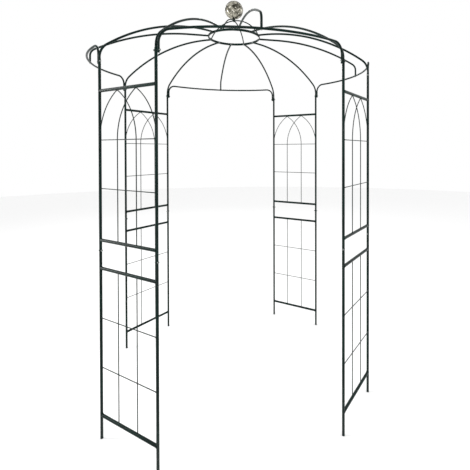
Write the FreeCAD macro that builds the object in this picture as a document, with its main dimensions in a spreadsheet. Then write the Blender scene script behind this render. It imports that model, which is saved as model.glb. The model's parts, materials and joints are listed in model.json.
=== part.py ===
import FreeCAD, Part
import math
import os
import Sketcher

# Round rose pavilion of bolted steel tube. Eight posts stand on one circle and are
# joined in pairs by four narrow trellis panels. The four gaps between the panels are
# open doorways, each closed at the top by a bar that bows outwards. Twelve roof ribs
# rise from the posts and from the middles of the bars to a small ring, and four bent
# rods above the ring carry a hollow metal ball.
#
# Frame: the ground is z = 0, +Z is up and the axis of the circle is x = y = 0.
# Doorways are centred on 0, 90, 180 and 270 degrees, panels on 45, 135, 225 and 315.

Vector = FreeCAD.Vector
Rotation = FreeCAD.Rotation
Placement = FreeCAD.Placement

UP = Vector(0, 0, 1)
ALONG_X = Vector(1, 0, 0)
ALONG_Y = Vector(0, 1, 0)

doc = FreeCAD.newDocument("RosePavilion")

# ---------------------------------------------------------------- driving dimensions

DIMENSIONS = (
    # plan of the pavilion
    ("doorway_width", 1000, "between the post axes each side of a doorway"),
    ("panel_width", 450, "between the two post axes of a trellis panel"),
    # tube and wire sizes
    ("post_diameter", 16, "outside of the post tube"),
    ("post_wall", 1.4, "wall of the post tube"),
    ("spigot_clearance", 0.1, "gap all round a tube that slides into a post"),
    ("spigot_wall", 1.2, "wall of the reduced top end of a lower post"),
    ("rail_diameter", 18, "outside of the panel rails"),
    ("rail_wall", 1.4, "wall of the panel rails"),
    ("rail_end_gap", 4, "from the end of a rail to the axis of the post it is coped to"),
    ("bar_diameter", 13, "outside of the bent bar over a doorway"),
    ("bar_wall", 1.2, "wall of that bar"),
    ("rib_wall", 1.2, "wall of the roof ribs"),
    ("upright_wire", 5.5, "diameter of the upright and arched lattice wires"),
    ("cross_wire", 5, "diameter of the level lattice wires"),
    ("weld_bite", 0.5, "how far two crossing wires melt into each other"),
    # heights, stacked from the ground
    ("bottom_rail_height", 132, "bottom rail above the ground, so the free foot below it"),
    ("lower_section_height", 824, "between the two rails of the lower section"),
    ("section_gap", 157, "between the rails each side of the post joint"),
    ("first_wire_rise", 288, "upper section: rail to first level wire"),
    ("second_wire_rise", 268, "upper section: first to second level wire"),
    ("trellis_arch_rise", 273, "upper section: second level wire to top rail"),
    ("top_bolt_rise", 165, "top rail to the bolt at the post top"),
    ("joint_bolt_rise", 99, "rail below the post joint to its bolt"),
    # post joint and post top
    ("joint_lap", 12, "upper post reaches this far below the joint bolt"),
    ("spigot_length", 45, "reduced end inside the upper post"),
    ("swage_length", 10, "bore tapers to the reduced end over this length"),
    ("post_end", 14, "post top above its bolt"),
    ("rib_entry", 40, "rib inside the post, below the bolt"),
    ("leg_end", 13, "leg of a doorway bar below the bolt"),
    ("bar_rise", 98, "level part of a doorway bar above the bolt"),
    ("shoulder_radius", 60, "bend between leg and level part of a doorway bar"),
    ("bar_bulge", 15, "a doorway bar's middle, outside the circle of its shoulders"),
    # fasteners
    ("bolt_diameter", 6, "shank of every bolt and screw"),
    ("bolt_clearance", 0.4, "hole diameter less shank diameter"),
    ("head_flats", 10, "across the flats of bolt heads and nuts"),
    ("head_height", 4, "bolt head"),
    ("nut_height", 5, "nut"),
    ("bolt_end", 2, "thread showing past a nut"),
    ("screw_head_diameter", 11, "round head of the screws into the rib ends"),
    ("screw_head_height", 3.5, "round head of the screws into the rib ends"),
    ("insert_length", 18, "threaded insert in a rib end"),
    ("insert_depth", 1, "rib end to its insert"),
    # roof
    ("ring_diameter", 378, "outside of the roof ring"),
    ("ring_band", 16, "height of the flat ring"),
    ("ring_thickness", 8, "thickness of the flat ring"),
    ("ring_edge", 1, "bevel along the four edges of the flat ring"),
    ("ring_rise", 334, "middle of the ring above the post-top bolts"),
    ("post_rib_straight", 22, "rib stays upright this far above the bolt"),
    ("post_rib_bend", 100, "radius where a post rib turns inwards"),
    ("post_rib_level", 36, "level run of a post rib beside the ring"),
    ("doorway_rib_leg", 45, "upright foot of a doorway rib above the bar axis"),
    ("doorway_rib_bend", 50, "radius where a doorway rib turns inwards"),
    ("doorway_rib_level", 135, "level run of a doorway rib beside the ring"),
    # crown and ball
    ("crown_rise", 114, "top of the crown rods above the top edge of the ring"),
    ("crown_rod", 8, "diameter of the crown rods"),
    ("crown_foot_inset", 5, "crown rods stand this far inside the rim of the ring"),
    ("hub_diameter", 15, "small hub on which the ball sits"),
    ("hub_depth", 8, "hub below the top of the crown rods"),
    ("ball_diameter", 134, "hollow ball"),
    ("ball_wall", 1.5, "wall of the ball"),
    ("ball_gap", 10, "ball bottom above the top of the crown rods"),
    ("stud_reach", 20, "stud inside the ball"),
)

# Values worked out from the driving dimensions. Each may use the ones above it.
LAYOUT = (
    ("circle_radius", "sqrt((D.doorway_width^2 + D.panel_width^2"
                      " + sqrt(2) * D.doorway_width * D.panel_width) / 2)"),
    ("panel_half_angle", "asin(D.panel_width / (2 * circle_radius)) / 1deg"),
    ("panel_apothem", "circle_radius * cos(panel_half_angle)"),
    ("post_radius", "D.post_diameter / 2"),
    ("post_bore", "post_radius - D.post_wall"),
    ("spigot_radius", "post_bore - D.spigot_clearance"),
    ("spigot_bore", "spigot_radius - D.spigot_wall"),
    ("rib_radius", "post_bore - D.spigot_clearance"),
    ("rib_bore", "rib_radius - D.rib_wall"),
    ("rail_radius", "D.rail_diameter / 2"),
    ("hole_radius", "(D.bolt_diameter + D.bolt_clearance) / 2"),
    ("lower_rail_low", "D.bottom_rail_height"),
    ("lower_rail_high", "lower_rail_low + D.lower_section_height"),
    ("upper_rail_low", "lower_rail_high + D.section_gap"),
    ("first_wire", "upper_rail_low + D.first_wire_rise"),
    ("second_wire", "first_wire + D.second_wire_rise"),
    ("upper_rail_high", "second_wire + D.trellis_arch_rise"),
    ("joint_bolt_height", "lower_rail_high + D.joint_bolt_rise"),
    ("post_joint_height", "joint_bolt_height - D.joint_lap"),
    ("top_bolt_height", "upper_rail_high + D.top_bolt_rise"),
    ("post_top_height", "top_bolt_height + D.post_end"),
    ("bar_height", "top_bolt_height + D.bar_rise"),
    ("leg_offset", "(D.post_diameter + D.bar_diameter) / 2"),
    ("leg_circle_radius", "sqrt(circle_radius^2 + leg_offset^2)"),
    ("doorway_half_angle", "asin(D.doorway_width / (2 * circle_radius)) / 1deg"),
    ("leg_angle", "doorway_half_angle - atan(leg_offset / circle_radius) / 1deg"),
    ("leg_across", "leg_circle_radius * cos(leg_angle)"),
    ("leg_along", "leg_circle_radius * sin(leg_angle)"),
    ("bar_middle", "sqrt(leg_circle_radius^2 - D.shoulder_radius^2) + D.bar_bulge"),
    ("bar_centre", "(bar_middle^2 + D.shoulder_radius^2 - leg_circle_radius^2)"
                   " / (2 * (bar_middle - leg_across))"),
    ("bar_arc_radius", "bar_middle - bar_centre"),
    ("ring_height", "top_bolt_height + D.ring_rise"),
    ("ring_radius", "D.ring_diameter / 2"),
    ("ring_top", "ring_height + D.ring_band / 2"),
    ("ring_inside", "ring_radius - D.ring_thickness"),
    ("rib_end_radius", "ring_radius - D.ring_thickness / 2"),
    ("screw_seat", "sqrt(ring_inside^2 - (D.screw_head_diameter / 2)^2)"),
    ("lattice_third", "D.panel_width / 3"),
    ("trellis_arc_rise", "D.trellis_arch_rise - rail_radius + D.upright_wire / 2"),
    ("trellis_arc_radius", "(lattice_third^2 + trellis_arc_rise^2) / (2 * lattice_third)"),
    ("trellis_arc_angle", "asin(trellis_arc_rise / trellis_arc_radius) / 1deg"),
    ("cross_wire_offset", "(D.upright_wire + D.cross_wire) / 2 - D.weld_bite"),
    ("crown_foot_radius", "ring_radius - D.crown_foot_inset"),
    ("crown_arc_radius", "(crown_foot_radius^2 + D.crown_rise^2) / (2 * D.crown_rise)"),
    ("crown_top", "ring_top + D.crown_rise"),
    ("crown_centre", "crown_top - crown_arc_radius"),
    ("ball_bottom", "crown_top + D.ball_gap"),
    ("ball_centre", "ball_bottom + D.ball_diameter / 2"),
    ("hub_bottom", "crown_top - D.hub_depth"),
)


def fill_sheets():
    """Write the driving numbers as text, and the worked-out values as formulas."""
    sheet = doc.addObject("Spreadsheet::Sheet", "Dimensions")
    for row, (alias, size, meaning) in enumerate(DIMENSIONS, start=1):
        sheet.set("A%d" % row, alias)
        sheet.set("B%d" % row, str(size))
        sheet.set("C%d" % row, meaning)
        sheet.setAlias("B%d" % row, alias)
    doc.recompute()
    layout = doc.addObject("Spreadsheet::Sheet", "Layout")
    for row, (alias, formula) in enumerate(LAYOUT, start=1):
        layout.set("A%d" % row, alias)
        layout.set("B%d" % row, "=" + formula.replace("D.", "Dimensions."))
        layout.setAlias("B%d" % row, alias)
    doc.recompute()
    return sheet, layout


dimensions, layout = fill_sheets()


def full(expression):
    """Name the sheet of each value: D. is a driving dimension, L. a worked-out one."""
    return str(expression).replace("D.", "Dimensions.").replace("L.", "Layout.")


def value(expression):
    """The present value of an expression."""
    return float(dimensions.evalExpression(full(expression)))


# ---------------------------------------------------------------- building helpers

def bind(target, bindings):
    """Bind each named property of an object to its expression."""
    for prop, expression in bindings.items():
        target.setExpression(prop, full(expression))


def move(target, base):
    """Bind the three coordinates of an object's place."""
    for axis, expression in zip("xyz", base):
        target.setExpression("Placement.Base." + axis, full(expression))


def cylinder(name, radius, length, base=(0, 0, 0), direction=UP):
    """A round bar whose first end is centred on base and which runs along direction."""
    solid = doc.addObject("Part::Cylinder", name)
    solid.Placement = Placement(Vector(), Rotation(UP, direction))
    bind(solid, {"Radius": radius, "Height": length})
    move(solid, base)
    return solid


def hexagon(name, flats, length, base, direction):
    """A six-sided prism measured across its flats."""
    solid = doc.addObject("Part::Prism", name)
    solid.Polygon = 6
    solid.Placement = Placement(Vector(), Rotation(UP, direction))
    bind(solid, {"Circumradius": "(%s) / sqrt(3)" % flats, "Height": length})
    move(solid, base)
    return solid


def fuse(name, pieces):
    """One boolean union of several objects."""
    union = doc.addObject("Part::MultiFuse", name)
    union.Shapes = pieces
    return union


def cut(name, base, tool):
    """Base less tool."""
    difference = doc.addObject("Part::Cut", name)
    difference.Base = base
    difference.Tool = tool
    return difference


def group(name, pieces):
    """Separate solids kept as one sub-part."""
    compound = doc.addObject("Part::Compound", name)
    compound.Links = pieces
    return compound


def turn(target, station):
    """Turn an object about Z. A station is an angle from +X and the sense of the turn."""
    angle, sense = station
    target.Placement = Placement(Vector(), Rotation(Vector(0, 0, sense), value(angle)))
    target.setExpression("Placement.Rotation.Angle", full(angle))


def turned(name, piece, station):
    """A piece made on the XZ plane, turned about the axis to its own station."""
    holder = group(name, [piece])
    turn(holder, station)
    return holder


# Stations round the circle, counterclockwise from +X. An angle is never over 180
# degrees: past the far side it is counted clockwise, with the sense -1.
PANELS = (("45", 1), ("135", 1), ("135", -1), ("45", -1))
DOORWAYS = (("0", 1), ("90", 1), ("180", 1), ("90", -1))
POSTS = (
    ("45 - L.panel_half_angle", 1),
    ("45 + L.panel_half_angle", 1),
    ("135 - L.panel_half_angle", 1),
    ("135 + L.panel_half_angle", 1),
    ("135 + L.panel_half_angle", -1),
    ("135 - L.panel_half_angle", -1),
    ("45 + L.panel_half_angle", -1),
    ("45 - L.panel_half_angle", -1),
)


def doorway_side(index):
    """Which way along the circle the doorway of a post lies, +1 for counterclockwise."""
    return (-1, 1)[index % 2]


def new_body(name):
    """A PartDesign body with its own origin."""
    return doc.addObject("PartDesign::Body", name)


def sketch_on(body, name, plane):
    """A sketch on one of the body's own origin planes."""
    planes = {feature.Role: feature for feature in body.Origin.OriginFeatures}
    sketch = body.newObject("Sketcher::SketchObject", name)
    sketch.AttachmentSupport = [(planes[plane], "")]
    sketch.MapMode = "FlatFace"
    return sketch


def dimension(sketch, constraint, expression):
    """Add a driving constraint and bind its value."""
    index = sketch.addConstraint(constraint)
    name = "size_%d" % index
    sketch.renameConstraint(index, name)
    sketch.setExpression("Constraints." + name, full(expression))


def place_point(sketch, geometry, point, across, height):
    """Fix a point of a sketch at two expressions, across and up."""
    for kind, expression, axis in (("DistanceX", across, -2), ("DistanceY", height, -1)):
        if value(expression) == 0:
            sketch.addConstraint(Sketcher.Constraint("PointOnObject", geometry, point, axis))
        else:
            spot = Sketcher.Constraint(kind, -1, 1, geometry, point, value(expression))
            dimension(sketch, spot, expression)


def turned_profile(body, name, corners):
    """Revolve a closed outline about Z. Each corner is a pair of expressions (r, z)."""
    sketch = sketch_on(body, name + "_profile", "XZ_Plane")
    spots = [Vector(value(across), value(height), 0) for across, height in corners]
    count = len(spots)
    for index in range(count):
        side = Part.LineSegment(spots[index], spots[(index + 1) % count])
        sketch.addGeometry(side, False)
    for index in range(count):
        following = (index + 1) % count
        sketch.addConstraint(Sketcher.Constraint("Coincident", index, 2, following, 1))
    for index, (across, height) in enumerate(corners):
        place_point(sketch, index, 1, across, height)
    revolution = body.newObject("PartDesign::Revolution", name)
    revolution.Profile = sketch
    revolution.ReferenceAxis = (sketch, ["V_Axis"])
    revolution.Angle = 360


def drill(body, name, across, height, side=0):
    """Drill a level bolt hole right through the body, along Y.

    With a side, the hole is swung about Z by half a panel's angle to that side.
    """
    sketch = sketch_on(body, name + "_circle", "XZ_Plane")
    if side:
        swing = Rotation(ALONG_Y * side, value("L.panel_half_angle"))
        sketch.AttachmentOffset = Placement(Vector(), swing)
        bind(sketch, {"AttachmentOffset.Rotation.Angle": "L.panel_half_angle"})
    centre = Vector(value(across), value(height), 0)
    radius = value("L.hole_radius")
    sketch.addGeometry(Part.Circle(centre, UP, radius), False)
    dimension(sketch, Sketcher.Constraint("Radius", 0, radius), "L.hole_radius")
    place_point(sketch, 0, 3, across, height)
    doc.recompute()
    before = body.Shape.Volume
    pocket = body.newObject("PartDesign::Pocket", name)
    pocket.Profile = sketch
    pocket.Type = "ThroughAll"
    pocket.SideType = "Symmetric"
    doc.recompute()
    if not body.Shape.Volume < before:
        raise RuntimeError(name + " removed nothing")


# ---------------------------------------------------------------- posts

def stand_post(body, index):
    """Stand a post on the circle, turned so that its local Y runs along its panel."""
    angle, sense = POSTS[index]
    turn(body, PANELS[index // 2])
    move(body, (
        "L.circle_radius * cos(%s)" % angle,
        "%d * L.circle_radius * sin(%s)" % (sense, angle),
        "0",
    ))


def lower_post(index):
    """Foot to joint: a tube with a reduced end that slides into the upper post."""
    body = new_body("post_lower_%d" % (index + 1))
    turned_profile(body, "tube", (
        ("L.post_bore", "0"),
        ("L.post_radius", "0"),
        ("L.post_radius", "L.post_joint_height"),
        ("L.spigot_radius", "L.post_joint_height"),
        ("L.spigot_radius", "L.post_joint_height + D.spigot_length"),
        ("L.spigot_bore", "L.post_joint_height + D.spigot_length"),
        ("L.spigot_bore", "L.post_joint_height - D.post_wall"),
        ("L.post_bore", "L.post_joint_height - D.swage_length"),
    ))
    drill(body, "joint_hole", "0", "L.joint_bolt_height")
    stand_post(body, index)
    return body


def upper_post(index):
    """Joint to post top: a plain tube drilled for the joint bolt and the top bolt."""
    body = new_body("post_upper_%d" % (index + 1))
    turned_profile(body, "tube", (
        ("L.post_bore", "L.post_joint_height"),
        ("L.post_radius", "L.post_joint_height"),
        ("L.post_radius", "L.post_top_height"),
        ("L.post_bore", "L.post_top_height"),
    ))
    # The joint bolt runs along the panel, the top bolt along the circle.
    drill(body, "joint_hole", "0", "L.joint_bolt_height")
    drill(body, "top_hole", "0", "L.top_bolt_height", doorway_side(index))
    stand_post(body, index)
    return body


# ---------------------------------------------------------------- trellis panels
# A panel is made square to X, at the distance of its post axes from the centre, with
# its width along Y, and is then turned to its station.

def panel_posts(name):
    """Two solid bars where the posts stand, for cutting what meets them."""
    pieces = []
    for side in (-1, 1):
        base = ("L.panel_apothem", "%d * D.panel_width / 2" % side, "0")
        pieces.append(cylinder("%s_%d" % (name, side + 2), "L.post_radius",
                               "L.post_top_height", base))
    return pieces


def rail(name, radius, height):
    """A level bar from post axis to post axis, short by the gap at each end."""
    base = ("L.panel_apothem", "D.rail_end_gap - D.panel_width / 2", height)
    return cylinder(name, radius, "D.panel_width - 2 * D.rail_end_gap", base, ALONG_Y)


def rail_pair(name, number, heights):
    """Two rails of one panel section, hollow and coped to both posts."""
    outsides = [rail("%s_outside" % name, "L.rail_radius", height) for height in heights]
    bores = [rail("%s_bore" % name, "L.rail_radius - D.rail_wall", height)
             for height in heights]
    tools = fuse(name + "_tools", bores + panel_posts(name + "_post"))
    pair = cut(name, fuse(name + "_outsides", outsides), tools)
    turn(pair, PANELS[number])
    return pair


def upright(name, side, low, high):
    """A straight upright wire at a third of the panel's width."""
    base = ("L.panel_apothem", "%d * L.lattice_third / 2" % side, low)
    return cylinder(name, "D.upright_wire / 2", "(%s) - (%s)" % (high, low), base)


def level_wire(name, height):
    """A level wire on the outer face of the upright ones."""
    base = ("L.panel_apothem + L.cross_wire_offset", "-D.panel_width / 2", height)
    return cylinder(name, "D.cross_wire / 2", "D.panel_width", base, ALONG_Y)


def trellis_arc(name, start, bend):
    """A wire that leaves the second level wire upright and bends a third of the width.

    Two such wires meet in a point just inside the underside of the top rail.

    start is the place along Y in thirds of the panel, and bend is the side it goes to.
    """
    arc = doc.addObject("Part::Torus", name)
    inward = Vector(0, -bend, 0)
    axes = Rotation(inward, UP, inward.cross(UP), "ZXY")
    arc.Placement = Placement(Vector(), axes)
    bind(arc, {
        "Radius1": "L.trellis_arc_radius",
        "Radius2": "D.upright_wire / 2",
        "Angle3": "L.trellis_arc_angle",
    })
    middle = "%g * L.lattice_third + %d * L.trellis_arc_radius" % (start, bend)
    move(arc, ("L.panel_apothem", middle, "L.second_wire"))
    return arc


def rail_cutters(name, heights):
    """Solid bars where the rails run, for cutting the wires to length."""
    return [rail(name, "L.rail_radius", height) for height in heights]


def lower_lattice(number):
    """Two upright wires crossed by two level ones, welded at the crossings."""
    name = "lattice_lower_%d" % (number + 1)
    wires = [upright(name + "_upright", side, "L.lower_rail_low", "L.lower_rail_high")
             for side in (-1, 1)]
    for step in (1, 2):
        height = "L.lower_rail_low + %d * D.lower_section_height / 3" % step
        wires.append(level_wire(name + "_level", height))
    tools = rail_cutters(name + "_rail", ("L.lower_rail_low", "L.lower_rail_high"))
    tools += panel_posts(name + "_post")
    lattice = cut(name, fuse(name + "_wires", wires), fuse(name + "_tools", tools))
    turn(lattice, PANELS[number])
    return lattice


def upper_lattice(number):
    """The same below, with four arcs above that cross into two pointed arches."""
    name = "lattice_upper_%d" % (number + 1)
    wires = [upright(name + "_upright", side, "L.upper_rail_low", "L.second_wire")
             for side in (-1, 1)]
    for height in ("L.first_wire", "L.second_wire"):
        wires.append(level_wire(name + "_level", height))
    for start, bend in ((-1.5, 1), (-0.5, 1), (0.5, -1), (1.5, -1)):
        wires.append(trellis_arc(name + "_arc", start, bend))
    tools = rail_cutters(name + "_rail", ("L.upper_rail_low", "L.upper_rail_high"))
    tools += panel_posts(name + "_post")
    lattice = cut(name, fuse(name + "_wires", wires), fuse(name + "_tools", tools))
    turn(lattice, PANELS[number])
    return lattice


# ---------------------------------------------------------------- doorway bars

def arc_edge(centre, start, across, angle):
    """A circular edge from start, turning towards across about the centre."""
    spoke = start - centre
    sweep = Vector(across).normalize() * spoke.Length
    points = [centre + spoke * math.cos(turn_by) + sweep * math.sin(turn_by)
              for turn_by in (0, angle / 2, angle)]
    return Part.Arc(*points).toShape()


def bar_line():
    """Middle line of a doorway bar: two upright legs, two shoulders and a level arc."""
    across = value("L.leg_across")
    along = value("L.leg_along")
    centre = value("L.bar_centre")
    radius = value("L.bar_arc_radius")
    shoulder = value("D.shoulder_radius")
    height = value("L.bar_height")
    foot_height = value("L.top_bolt_height - D.leg_end")
    half = math.atan2(along, across - centre) - math.atan(shoulder / radius)
    ends = []
    for side in (-1, 1):
        foot = Vector(across, side * along, foot_height)
        knee = Vector(across, side * along, height - shoulder)
        level = Vector(centre + radius * math.cos(half), side * radius * math.sin(half), height)
        leg = Part.LineSegment(foot, knee).toShape()
        bend = arc_edge(level - UP * shoulder, knee, UP, math.pi / 2)
        ends.append((foot, leg, bend, level))
    (foot, first_leg, first_bend, start), (_, last_leg, last_bend, _) = ends
    heading = Vector(math.sin(half), math.cos(half), 0)
    level_arc = arc_edge(Vector(centre, 0, height), start, heading, 2 * half)
    return foot, [first_leg, first_bend, level_arc, last_bend, last_leg]


def swept_tube(foot, edges, outside, inside):
    """Carry a ring-shaped section from the foot along the edges."""
    walls = []
    for radius in (outside, inside):
        circle = Part.Wire(Part.Circle(foot, UP, radius).toShape())
        walls.append(Part.Wire(edges).makePipeShell([circle], True, False))
    return walls[0].cut(walls[1])


def bar_shape():
    """The bent tube with its two bolt holes and the screw hole at its middle."""
    foot, edges = bar_line()
    outside = value("D.bar_diameter / 2")
    shape = swept_tube(foot, edges, outside, value("D.bar_diameter / 2 - D.bar_wall"))
    hole = value("L.hole_radius")
    height = value("L.top_bolt_height")
    depth = 2 * value("D.bar_diameter")
    circle = value("L.circle_radius")
    for side in (-1, 1):
        angle = side * math.radians(value("L.doorway_half_angle"))
        post = Vector(circle * math.cos(angle), circle * math.sin(angle), height)
        along = Vector(math.sin(angle), -math.cos(angle), 0) * side
        shape = shape.cut(Part.makeCylinder(hole, depth, post, along))
    middle = Vector(value("L.bar_middle"), 0, value("L.bar_height") - depth / 2)
    return shape.cut(Part.makeCylinder(hole, depth, middle, UP))


def doorway_bar(number):
    """The bent bar over one doorway."""
    bar = doc.addObject("Part::Feature", "doorway_bar_%d" % (number + 1))
    bar.Shape = bar_shape()
    turn(bar, DOORWAYS[number])
    return bar


# ---------------------------------------------------------------- roof ribs

def rib_path(body, foot_radius, foot_height, bend_height, bend_radius, level_run):
    """Upright foot, small bend, long dome arc and level run into the ring, on XZ.

    The dome arc has no radius of its own: it is tangent to the bend and the level run.
    """
    foot = value(foot_radius)
    start = value(bend_height)
    bend = value(bend_radius)
    top = value("L.ring_height")
    ring = value("L.rib_end_radius")
    level_end = value("L.ring_radius + " + level_run)
    reach = foot - bend - level_end
    rise = top - start
    dome = (reach ** 2 + rise ** 2 - bend ** 2) / (2 * (rise - bend))
    turn_angle = math.acos(reach / (dome - bend))
    sketch = sketch_on(body, "path", "XZ_Plane")
    bend_centre = Vector(foot - bend, start, 0)
    dome_centre = Vector(level_end, top - dome, 0)
    foot_low = Vector(foot, value(foot_height), 0)
    foot_high = Vector(foot, start, 0)
    ring_end = Vector(ring, top, 0)
    level_start = Vector(level_end, top, 0)
    sketch.addGeometry(Part.LineSegment(foot_low, foot_high), False)
    bend_circle = Part.Circle(bend_centre, UP, bend)
    sketch.addGeometry(Part.ArcOfCircle(bend_circle, 0, turn_angle), False)
    dome_circle = Part.Circle(dome_centre, UP, dome)
    sketch.addGeometry(Part.ArcOfCircle(dome_circle, turn_angle, math.pi / 2), False)
    sketch.addGeometry(Part.LineSegment(level_start, ring_end), False)
    sketch.addConstraint(Sketcher.Constraint("Vertical", 0))
    sketch.addConstraint(Sketcher.Constraint("Horizontal", 3))
    sketch.addConstraint(Sketcher.Constraint("Tangent", 0, 2, 1, 1))
    sketch.addConstraint(Sketcher.Constraint("Tangent", 1, 2, 2, 1))
    sketch.addConstraint(Sketcher.Constraint("Tangent", 2, 2, 3, 1))
    place_point(sketch, 0, 1, foot_radius, foot_height)
    dimension(sketch, Sketcher.Constraint("Radius", 1, bend), bend_radius)
    dimension(sketch, Sketcher.Constraint("DistanceY", -1, 1, 0, 2, start), bend_height)
    place_point(sketch, 3, 2, "L.rib_end_radius", "L.ring_height")
    dimension(sketch, Sketcher.Constraint("DistanceX", -1, 1, 3, 1, level_end),
              "L.ring_radius + " + level_run)
    return sketch


def rib_body(name, foot_radius, foot_height, bend_height, bend_radius, level_run):
    """A bent tube on the XZ plane from its foot to the ring."""
    body = new_body(name)
    path = rib_path(body, foot_radius, foot_height, bend_height, bend_radius, level_run)
    section = sketch_on(body, "section", "XY_Plane")
    bind(section, {"AttachmentOffset.Base.z": foot_height})
    middle = Vector(value(foot_radius), 0, 0)
    for index, radius in enumerate(("L.rib_radius", "L.rib_bore")):
        section.addGeometry(Part.Circle(middle, UP, value(radius)), False)
        dimension(section, Sketcher.Constraint("Radius", index, value(radius)), radius)
        place_point(section, index, 3, foot_radius, "0")
    pipe = body.newObject("PartDesign::AdditivePipe", "tube")
    pipe.Profile = section
    pipe.Spine = (path, [])
    doc.recompute()
    return body


def ring_outside(name):
    """A solid disc the size of the ring, for coping the rib ends."""
    low = "L.ring_height - D.ring_band"
    return cylinder(name, "L.ring_radius", "2 * D.ring_band", ("0", "0", low))


def post_rib(index):
    """A rib whose foot stands inside the post top, drilled for the top bolt."""
    name = "roof_rib_%d" % (index + 1)
    body = rib_body(
        name + "_tube",
        "L.circle_radius",
        "L.top_bolt_height - D.rib_entry",
        "L.top_bolt_height + D.post_rib_straight",
        "D.post_rib_bend",
        "D.post_rib_level",
    )
    drill(body, "top_hole", "L.circle_radius", "L.top_bolt_height")
    rib = cut(name, body, ring_outside(name + "_cope"))
    turn(rib, POSTS[index])
    return rib


def doorway_rib(number):
    """A rib whose foot stands, coped, on the middle of a doorway bar."""
    name = "doorway_rib_%d" % (number + 1)
    body = rib_body(
        name + "_tube",
        "L.bar_middle",
        "L.bar_height",
        "L.bar_height + D.doorway_rib_leg",
        "D.doorway_rib_bend",
        "D.doorway_rib_level",
    )
    bar = doc.addObject("Part::Torus", name + "_bar")
    bind(bar, {"Radius1": "L.bar_arc_radius", "Radius2": "D.bar_diameter / 2"})
    move(bar, ("L.bar_centre", "0", "L.bar_height"))
    # The tube starts on the bar's axis, and the bar's outside cuts its foot to a saddle.
    rib = cut(name, body, fuse(name + "_copes", [bar, ring_outside(name + "_ring")]))
    turn(rib, DOORWAYS[number])
    return rib


# ---------------------------------------------------------------- ring, crown and ball

def ring_holes():
    """Six long pins through the ring, one for each pair of ribs in line."""
    stations = DOORWAYS[:2] + POSTS[:4]
    pins = []
    for index, station in enumerate(stations):
        base = ("-D.ring_diameter", "0", "L.ring_height")
        pin = cylinder("ring_pin_%d" % index, "L.hole_radius", "2 * D.ring_diameter",
                       base, ALONG_X)
        pins.append(turned("ring_pin_turned_%d" % index, pin, station))
    return fuse("ring_pins", pins)


def roof_ring():
    """The flat ring that all twelve ribs are screwed to."""
    body = new_body("ring_band")
    low = "L.ring_top - D.ring_band"
    turned_profile(body, "band", (
        ("L.ring_inside", low + " + D.ring_edge"),
        ("L.ring_inside + D.ring_edge", low),
        ("L.ring_radius - D.ring_edge", low),
        ("L.ring_radius", low + " + D.ring_edge"),
        ("L.ring_radius", "L.ring_top - D.ring_edge"),
        ("L.ring_radius - D.ring_edge", "L.ring_top"),
        ("L.ring_inside + D.ring_edge", "L.ring_top"),
        ("L.ring_inside", "L.ring_top - D.ring_edge"),
    ))
    return cut("ring", body, ring_holes())


def crown():
    """Four arched rods that stand on the ring and end at the hub."""
    arches = []
    for index in range(2):
        arch = doc.addObject("Part::Torus", "crown_arch_%d" % index)
        arch.Angle3 = 180
        arch.Placement = Placement(Vector(), Rotation(ALONG_X, 90))
        bind(arch, {"Radius1": "L.crown_arc_radius", "Radius2": "D.crown_rod / 2"})
        move(arch, ("0", "0", "L.crown_centre"))
        arches.append(turned("crown_turned_%d" % index, arch, POSTS[2 * index + 1]))
    below = cylinder("crown_ground", "2 * L.ring_radius", "L.crown_arc_radius * 2",
                     ("0", "0", "L.ring_top - L.crown_arc_radius * 2"))
    core = cylinder("crown_core", "D.hub_diameter / 2", "4 * D.hub_depth",
                    ("0", "0", "L.hub_bottom"))
    return cut("crown", fuse("crown_arches", arches), fuse("crown_tools", [below, core]))


def ball_seat():
    """The hub: a short boss, dished on top to the ball and tapped for its stud."""
    boss = cylinder("hub_boss", "D.hub_diameter / 2", "L.ball_centre - L.hub_bottom",
                    ("0", "0", "L.hub_bottom"))
    dish = sphere("hub_dish", "D.ball_diameter / 2")
    bore = cylinder("hub_bore", "D.bolt_diameter / 2", "D.ball_diameter",
                    ("0", "0", "L.hub_bottom - D.hub_depth"))
    return cut("finial_hub", boss, fuse("hub_tools", [dish, bore]))


def sphere(name, radius):
    """A sphere on the axis, at the height of the ball."""
    solid = doc.addObject("Part::Sphere", name)
    bind(solid, {"Radius": radius})
    move(solid, ("0", "0", "L.ball_centre"))
    return solid


def ball():
    """The hollow ball with the hole that its stud is fixed in."""
    hole = cylinder("ball_hole", "D.bolt_diameter / 2", "D.ball_diameter / 4",
                    ("0", "0", "L.ball_bottom - D.ball_wall"))
    inside = sphere("ball_inside", "D.ball_diameter / 2 - D.ball_wall")
    return cut("finial_ball", sphere("ball_outside", "D.ball_diameter / 2"),
               fuse("ball_tools", [inside, hole]))


def stud():
    """The stud that holds the ball down on the hub."""
    return cylinder("finial_stud", "D.bolt_diameter / 2",
                    "L.ball_bottom - L.hub_bottom + D.stud_reach",
                    ("0", "0", "L.hub_bottom"))


# ---------------------------------------------------------------- fasteners
# A bolt lies along Y through a given point, with its head on one side (+1 for +Y).
# near and far are the distances from that point to the seats of its nut and its head.

def bolt(name, point, side, near, far):
    """Hex bolt whose thread shows a little past its nut."""
    across, along, height = point
    tail = "(%s + D.nut_height + D.bolt_end)" % near
    start = (across, "%s - %d * %s" % (along, side, tail), height)
    seat = (across, "%s + %d * (%s)" % (along, side, far), height)
    shank = cylinder(name + "_shank", "D.bolt_diameter / 2", "%s + %s" % (tail, far),
                     start, ALONG_Y * side)
    head = hexagon(name + "_head", "D.head_flats", "D.head_height", seat, ALONG_Y * side)
    return fuse(name, [shank, head])


def nut(name, point, side, near):
    """Hex nut on the shank of a bolt."""
    across, along, height = point
    seat = (across, "%s - %d * (%s)" % (along, side, near), height)
    body = hexagon(name + "_body", "D.head_flats", "D.nut_height", seat, ALONG_Y * -side)
    bore = cylinder(name + "_bore", "D.bolt_diameter / 2", "D.nut_height", seat,
                    ALONG_Y * -side)
    return cut(name, body, bore)


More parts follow.
